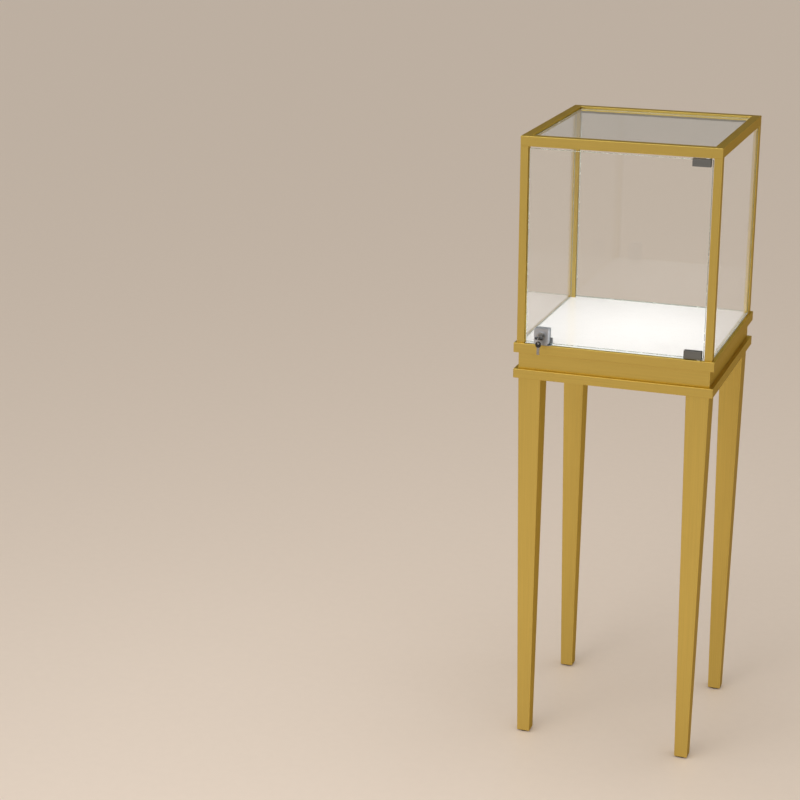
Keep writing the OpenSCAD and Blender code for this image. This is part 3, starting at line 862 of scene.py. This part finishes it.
class SHOWCASE_OT_lock(bpy.types.Operator):
    """Makes the lock: body with its collar, cylinder, bolt, back plate and strike"""

    bl_idname = "showcase.lock"
    bl_label = "Lock"

    def execute(self, context):
        silver = fine_steel("Lock steel", colours().lock, 0.34)
        bright = hardware_steel()
        body = clean_copy("lock_body", "lock_case")
        soften(body, sizes().soft_edge, 3)
        finish_piece(body, "door", silver, ["lock_body"])
        self.collar(silver)
        for node, name, material, slot, rider in (
            ("lock_back_plate", "lock_backing", silver, "lock_steel", "door"),
            ("lock_strike", "strike_plate", silver, "lock_steel", "case"),
            ("lock_cylinder", "lock_barrel", bright, "lock_cylinder", "lock_cylinder"),
            ("lock_bolt", "drop_bolt", bright, "pin_steel", "lock_bolt"),
        ):
            piece = clean_copy(node, name)
            soften(piece, sizes().fine_edge)
            finish_piece(piece, rider, material, [node])
        paint("lock_screws", bright)
        return {"FINISHED"}

    def collar(self, material):
        """A ring round the cylinder, standing on the lock's face."""
        axis = Vector(JOINTS["key_turn"]["pos_m"])
        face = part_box("lock_body")[0].y
        barrel_low, barrel_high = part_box("lock_cylinder")
        inner = (barrel_high.x - barrel_low.x) / 2 + COLLAR_PLAY
        outer = inner + COLLAR_WALL
        middle = (axis.x, face - COLLAR_HIGH / 2 + COLLAR_SUNK / 2, axis.z)
        ring = drum("lock_collar", middle, outer, COLLAR_HIGH + COLLAR_SUNK)
        cut(ring, drum("collar_hole", middle, inner, 4 * COLLAR_HIGH))
        soften(ring, sizes().fine_edge)
        finish_piece(ring, "door", material)


def spot(middle, **shifts):
    """A copy of a point, moved along the named axes."""
    moved = Vector(middle)
    for axis, shift in shifts.items():
        moved[AXES.index(axis)] += shift
    return moved


def between(first, second):
    """The low and high corners of the box that two points span."""
    pairs = list(zip(first, second))
    return Vector(map(min, pairs)), Vector(map(max, pairs))


def key_blade(name, node, along, thin, tip, inwards):
    """The steel of a key: a flat blade with notches down one edge and a groove on each face."""
    low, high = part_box(node)
    start = (low + high) / 2
    start[AXES.index(along)] = tip
    half = {"x": BLADE_WIDE / 2, thin: BLADE_THICK / 2}
    far = {along: inwards * BLADE_LONG}
    left = {axis: -size for axis, size in half.items()}
    blade = block(name, *between(spot(start, **left), spot(start, **half, **far)))
    for step in range(sizes().key_cuts):
        place = spot(
            start,
            x=BLADE_WIDE / 2 + NOTCH_RADIUS - NOTCH_DEPTHS[step],
            **{along: inwards * (FIRST_NOTCH + step * NOTCH_PITCH)},
        )
        cut(blade, drum("notch", place, NOTCH_RADIUS, 3 * BLADE_THICK, AXES.index(thin), 16))
    before = -inwards * GROOVE
    end = GROOVE_LONG * far[along]
    for side in (-1, 1):
        face = side * BLADE_THICK / 2
        corners = between(
            spot(start, x=-GROOVE_FROM * BLADE_WIDE, **{thin: face - GROOVE, along: before}),
            spot(start, x=-GROOVE_TO * BLADE_WIDE, **{thin: face + GROOVE, along: end}),
        )
        cut(blade, block("groove", *corners))
    soften(blade, KEY_EDGE)
    return blade


def key_bow(name, node, along, thin, hole_radius, slot):
    """The moulded head of a key: rounded, with a sunk panel on each face and a hole or slot."""
    low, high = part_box(node)
    flat = AXES.index(thin)
    if along == "z":
        low.z = high.z - BOW_LONG
        hole = spot((low + high) / 2, z=BOW_LONG / 2 - BOW_RIM - hole_radius)
    else:
        high.y = low.y + BOW_LONG
        hole = spot((low + high) / 2, y=BOW_RIM + hole_radius - BOW_LONG / 2)
    bow = block(name, low, high)
    round_edges(bow, BOW_CORNER, 8, lambda middle, direction: abs(direction[flat]) > 0.9)
    sink_faces(
        bow, BOW_PANEL_RIM, sizes().bow_recess, lambda middle, normal: abs(normal[flat]) > 0.9
    )
    cut(bow, drum("hole", hole, hole_radius, BOW_CUT, flat, 32))
    if slot:
        cut(bow, drum("hole", spot(hole, **{along: slot}), hole_radius, BOW_CUT, flat, 32))
        reach = {"x": 0.999 * hole_radius, thin: BOW_CUT / 2}
        back = {axis: -size for axis, size in reach.items()}
        cut(bow, block("slot", *between(spot(hole, **back), spot(hole, **reach, **{along: slot}))))
    soften(bow, BOW_EDGE)
    return bow


class SHOWCASE_OT_keys(bpy.types.Operator):
    """Makes the key in the lock, the split ring and the spare key that hangs from it"""

    bl_idname = "showcase.keys"
    bl_label = "Keys"

    def execute(self, context):
        steel = hardware_steel("Key steel", (0.40, 0.39, 0.38), Z, 0.26)
        black = moulded("Black key plastic", (0.012, 0.012, 0.013), 0.32)
        in_lock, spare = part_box("key"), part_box("spare_key")
        blades = {
            "key": key_blade("key_blade", "key", "y", "z", in_lock[1].y, -1),
            "spare_key": key_blade("spare_key_blade", "spare_key", "z", "y", spare[0].z, 1),
        }
        bows = {
            "key": key_bow("key_bow", "key", "y", "z", 2.5 * MM, 2 * MM),
            "spare_key": key_bow("spare_key_bow", "spare_key", "z", "y", 2.2 * MM, 0),
        }
        for node in ("key", "spare_key"):
            finish_piece(blades[node], node, steel)
            finish_piece(bows[node], node, black, [node])
        self.split_ring(steel)
        return {"FINISHED"}

    def split_ring(self, steel):
        """Two turns of wire side by side, as a key ring is wound."""
        low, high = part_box("key_ring")
        wire = (high.x - low.x) / 4
        turns = []
        for side in (-1, 1):
            bpy.ops.object.select_all(action="DESELECT")
            middle = (low + high) / 2
            middle.x += side * wire
            bpy.ops.mesh.primitive_torus_add(
                location=middle,
                rotation=(0, math.pi / 2, 0),
                major_radius=(high.z - low.z) / 2 - wire - RING_PLAY,
                minor_radius=RING_WIRE_FILL * wire,
                major_segments=64,
                minor_segments=12,
            )
            turns.append(settle(bpy.context.active_object, "ring_turn"))
        ring = join("split_ring", turns)
        finish_piece(ring, "key_ring", steel, ["key_ring"])


class SHOWCASE_OT_case_lamp(bpy.types.Operator):
    """Finishes the lamp under the front rail, its driver, wires and the power socket"""

    bl_idname = "showcase.case_lamp"
    bl_label = "Case lamp"

    def execute(self, context):
        aluminium = brushed_metal(
            "Anodised aluminium", (0.62, 0.62, 0.63), X, 0.40, contrast=0.05, pitch=700.0
        )
        paint("led_channel", aluminium)
        paint("led_strip", moulded("Lamp board", (0.80, 0.74, 0.55), 0.45))
        paint("led_driver", moulded("White casing", (0.78, 0.78, 0.76), 0.45))
        paint("led_wires", moulded("Wire sheath", (0.03, 0.03, 0.03), 0.4))
        milk = glowing(
            "Milky diffuser", (0.92, 0.90, 0.84), glow=(1.0, 0.93, 0.80), strength=1.6
        )
        diffuser = clean_copy("led_diffuser", "lamp_diffuser")
        soften(diffuser, sizes().fine_edge)
        finish_piece(diffuser, "case", milk, ["led_diffuser"])
        socket = clean_copy("power_inlet", "power_socket")
        soften(socket, 0.2 * MM)
        finish_piece(socket, "case", black_nylon(), ["power_inlet"])
        return {"FINISHED"}


# ---------------------------------------------------------------- studio


def soft_lamp(name, place, target, size, watts):
    """A square soft lamp that faces a target."""
    bpy.ops.object.select_all(action="DESELECT")
    aim = (Vector(target) - Vector(place)).to_track_quat("-Z", "Y").to_euler()
    bpy.ops.object.light_add(type="AREA", location=place, rotation=aim)
    lamp = bpy.context.active_object
    lamp.name = name
    lamp.data.size = size
    lamp.data.energy = watts
    lamp.visible_camera = False
    return lamp


class SHOWCASE_OT_studio(bpy.types.Operator):
    """Sets up the pale floor, the soft lamps, the surroundings and the camera"""

    bl_idname = "showcase.studio"
    bl_label = "Studio"

    def execute(self, context):
        self.floor()
        self.lamps()
        self.surroundings(context.scene)
        self.camera(context.scene)
        context.scene.view_settings.view_transform = "Standard"
        return {"FINISHED"}

    def floor(self):
        bpy.ops.object.select_all(action="DESELECT")
        bpy.ops.mesh.primitive_plane_add(size=80)
        floor = settle(bpy.context.active_object, "studio_floor")
        colour = tuple(colours().floor)
        pale = moulded(
            "Studio floor", colour, 0.5, contrast=0.006, speckle=300.0, depth=0.001 * MM
        )
        floor.data.materials.append(pale)

    def lamps(self):
        watts = studio().lamp_power
        front = soft_lamp(
            "lamp_front", (-0.6, -2.0, 2.4), (-0.4, -1.2, 0), size=1.8, watts=1.3 * watts
        )
        front.data.spread = math.radians(140)
        soft_lamp("lamp_top", (-0.3, 0.1, 3.6), (0, 0, 0.9), size=2.4, watts=watts)
        low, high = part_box("glass_top")
        place = ((low.x + high.x) / 2, (low.y + high.y) / 2, low.z - 4 * MM)
        straight_down = (place[0], place[1], 0)
        width = 0.9 * (high.x - low.x)
        glow = soft_lamp(
            "lamp_case", place, straight_down, size=width, watts=studio().case_lamp_power
        )
        glow.data.color = (1.0, 0.98, 0.97)
        glow.visible_glossy = False
        glow.visible_transmission = False

    def surroundings(self, scene):
        """An even room that is dim low down beyond the object, and dim behind the camera."""
        world = bpy.data.worlds.new("Room")
        scene.world = world
        world.use_nodes = True
        tree = world.node_tree
        background = tree.nodes["Background"]
        place = tree.nodes.new("ShaderNodeTexCoord")
        patches = []
        for towards, start, full in ((BEYOND, 0.35, 0.95), (BEHIND_CAMERA, 0.72, 0.96)):
            facing = add_node(tree, "ShaderNodeVectorMath", operation="DOT_PRODUCT")
            facing.inputs[1].default_value = Vector(towards).normalized()
            tree.links.new(place.outputs["Generated"], facing.inputs[0])
            patch = add_node(
                tree, "ShaderNodeMapRange", {"From Min": start, "From Max": full}, clamp=True
            )
            tree.links.new(facing.outputs["Value"], patch.inputs["Value"])
            patches.append(patch.outputs["Result"])
        dim = add_node(tree, "ShaderNodeMath", operation="MAXIMUM")
        for socket, patch in zip(dim.inputs, patches):
            tree.links.new(patch, socket)
        room = blend_colours(tree, dim.outputs["Value"], ROOM_BRIGHT, ROOM_DIM)
        tree.links.new(room, background.inputs["Color"])
        background.inputs["Strength"].default_value = studio().room_light

    def camera(self, scene):
        view = studio()
        turn = (math.pi / 2 - view.camera_tilt, 0, view.camera_turn)
        bpy.ops.object.camera_add(location=view.camera_place, rotation=turn)
        camera = bpy.context.active_object
        camera.name = "camera"
        camera.data.lens = view.camera_lens
        camera.data.sensor_width = 36
        camera.data.clip_end = 200
        scene.camera = camera


# ---------------------------------------------------------------- add-on


STEPS = (
    SHOWCASE_OT_gold_frame,
    SHOWCASE_OT_stand_hardware,
    SHOWCASE_OT_fixed_panes,
    SHOWCASE_OT_glass_door,
    SHOWCASE_OT_deck,
    SHOWCASE_OT_hinges,
    SHOWCASE_OT_lock,
    SHOWCASE_OT_keys,
    SHOWCASE_OT_case_lamp,
    SHOWCASE_OT_studio,
)


class SHOWCASE_PT_panel(bpy.types.Panel):
    """Lists the showcase's pieces and settings"""

    bl_label = "Display Showcase"
    bl_idname = "SHOWCASE_PT_panel"
    bl_space_type = "VIEW_3D"
    bl_region_type = "UI"
    bl_category = "Showcase"

    def draw(self, context):
        layout = self.layout
        for step in STEPS:
            layout.operator(step.bl_idname)
        for settings in (sizes(), colours(), studio()):
            column = layout.column()
            for key in settings.bl_rna.properties.keys():
                if key not in ("rna_type", "name"):
                    column.prop(settings, key)


CLASSES = (ShowcaseSizes, ShowcaseColours, ShowcaseStudio, *STEPS, SHOWCASE_PT_panel)


def register():
    for item in CLASSES:
        bpy.utils.register_class(item)
    bpy.types.Scene.showcase_sizes = PointerProperty(type=ShowcaseSizes)
    bpy.types.Scene.showcase_colours = PointerProperty(type=ShowcaseColours)
    bpy.types.Scene.showcase_studio = PointerProperty(type=ShowcaseStudio)


def unregister():
    del bpy.types.Scene.showcase_sizes
    del bpy.types.Scene.showcase_colours
    del bpy.types.Scene.showcase_studio
    for item in reversed(CLASSES):
        bpy.utils.unregister_class(item)


def main():
    register()
    for step in STEPS:
        group, action = step.bl_idname.split(".")
        getattr(getattr(bpy.ops, group), action)()


if __name__ == "__main__":
    main()
